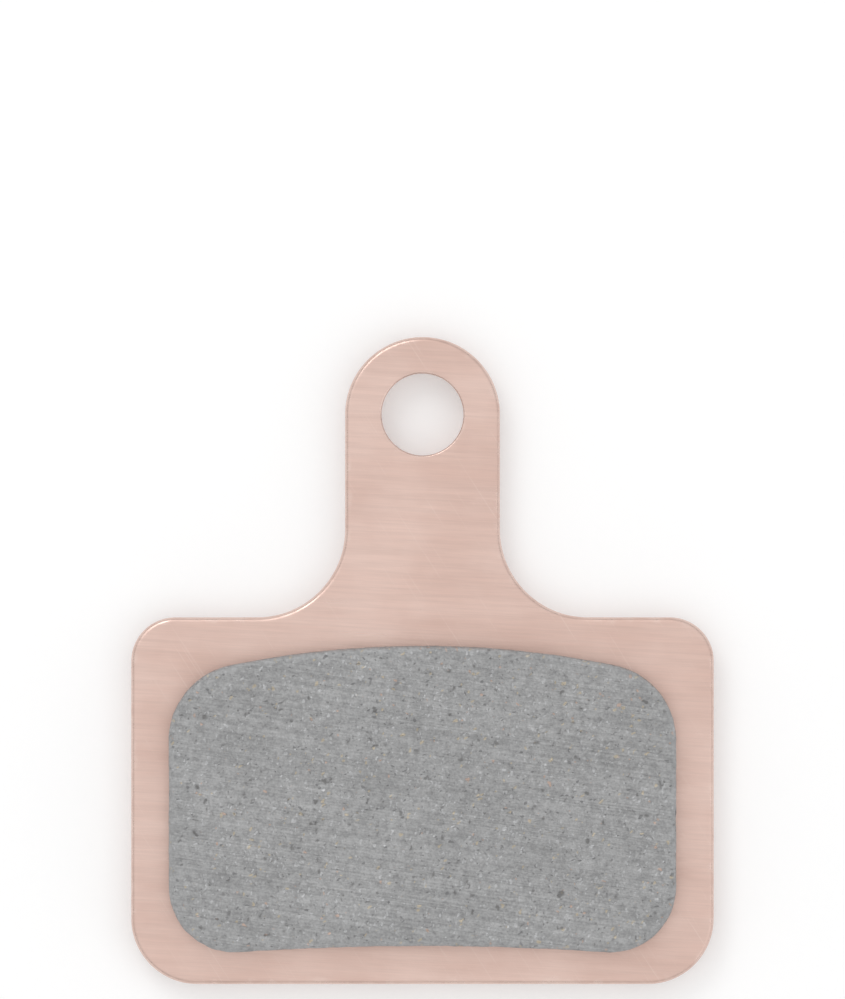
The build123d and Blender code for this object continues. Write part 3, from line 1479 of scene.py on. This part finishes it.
@dataclass(frozen=True)
class Studio:
    """Floor, light and camera. The camera looks straight down on the pad."""

    frame_pixels: tuple[int, int] = (845, 999)
    bore_pixel: tuple[float, float] = (422.5, 414.4)
    pixel: float = 0.05  # millimetres on the pad
    lens: float = 500.0  # long, because the pad is drawn without perspective
    sensor: float = 36.0
    clip: tuple[float, float] = (0.01, 100.0)  # metres
    focus_height: float = 2.0  # height on the pad at which the scale is true
    floor_rings: tuple[float, float] = (1.0, 240.0)  # radii of the rings in the flat part of the floor
    floor_radius: float = 800.0  # of the flat part of the floor
    floor_bend: float = 400.0  # radius of the sweep from the floor up to its rim
    floor_gap: float = 0.01  # so that the floor and the plate aren't in one plane
    bend_steps: int = 24
    turn_steps: int = 128
    sky: Colour = (1.0, 1.0, 1.0)
    horizon: float = 0.50
    zenith: float = 1.01
    softboxes: tuple[Softbox, ...] = (
        Softbox("key_softbox", place=(-0.19, 0.33, 0.40), size=0.26, power=0.42),
        Softbox("fill_softbox", place=(0.42, -0.20, 0.34), size=0.40, power=0.16),
    )

    def lay_floor(self) -> None:
        """Lay a round floor that sweeps up to a rim.

        A profile is turned about Z. It runs out flat to the floor radius, and then up a quarter
        circle: at angle a it is at the radius plus bend sin a, and bend (1 - cos a) high.
        """
        angle = np.linspace(0, QUARTER, self.bend_steps + 1)
        out = np.concatenate([self.floor_rings, self.floor_radius + self.floor_bend * np.sin(angle)])
        up = np.concatenate([(0.0, 0.0), self.floor_bend * (1 - np.cos(angle))]) - self.floor_gap
        turn = np.linspace(0, 4 * QUARTER, self.turn_steps, endpoint=False)
        spokes = np.stack([np.cos(turn), np.sin(turn)], axis=1)
        points = lift(out[:, None, None] * spokes, up[:, None])
        hub = fan_patch(points[0], points[0].mean(0), {})
        floor = weld("floor", [grid_patch(points, closed=True), hub])
        floor.data.materials.append(PaleFloor().material())
        floor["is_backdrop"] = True

    def light(self) -> None:
        """Light the pad from a pale sky that is brightest overhead, and from the softboxes."""
        world = bpy.data.worlds.new("pale_sky")
        bpy.context.scene.world = world
        world.use_nodes = True
        world.node_tree.nodes.clear()
        graph = Graph(world.node_tree)
        direction = graph.add("ShaderNodeTexCoord").outputs["Generated"]
        up = graph.add("ShaderNodeSeparateXYZ", {0: direction}).outputs[2]
        strength = graph.span(up, 0.0, 1.0, self.horizon, self.zenith)
        sky = graph.add("ShaderNodeBackground", {"Color": self.sky, "Strength": strength})
        graph.add("ShaderNodeOutputWorld", {"Surface": sky.outputs[0]})
        low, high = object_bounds()
        for softbox in self.softboxes:
            softbox.hang((low + high) / 2)

    def set_camera(self) -> None:
        """Hang the camera over the middle of the picture, with +Y up in it."""
        wide, tall = self.frame_pixels
        x = (wide / 2 - self.bore_pixel[0]) * self.pixel
        y = (self.bore_pixel[1] - tall / 2) * self.pixel
        away = self.lens / self.sensor * tall * self.pixel
        data = bpy.data.cameras.new("camera")
        data.lens, data.sensor_width, data.sensor_fit = self.lens, self.sensor, "AUTO"
        data.clip_start, data.clip_end = self.clip
        camera = bpy.data.objects.new("camera", data)
        camera.location = Vector((x, y, away + self.focus_height)) * MM
        bpy.context.scene.collection.objects.link(camera)
        bpy.context.scene.camera = camera

    def set_up(self) -> None:
        """Make the whole studio."""
        bpy.context.scene.view_settings.view_transform = "Standard"
        self.lay_floor()
        self.light()
        self.set_camera()


def report(piece: bpy.types.Object) -> None:
    """Log a piece's name and number of triangles."""
    piece.data.calc_loop_triangles()
    LOG.info("%s: %d triangles", piece.name, len(piece.data.loop_triangles))


def main() -> None:
    """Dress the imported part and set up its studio."""
    logging.basicConfig(level=logging.INFO, format="%(name)s: %(message)s")
    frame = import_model()
    effects = Effects()
    report(BackingPlate.fitted(frame["record"]).build(effects))
    report(FrictionLining.fitted().build(effects))
    Studio().set_up()


if __name__ == "__main__":
    main()
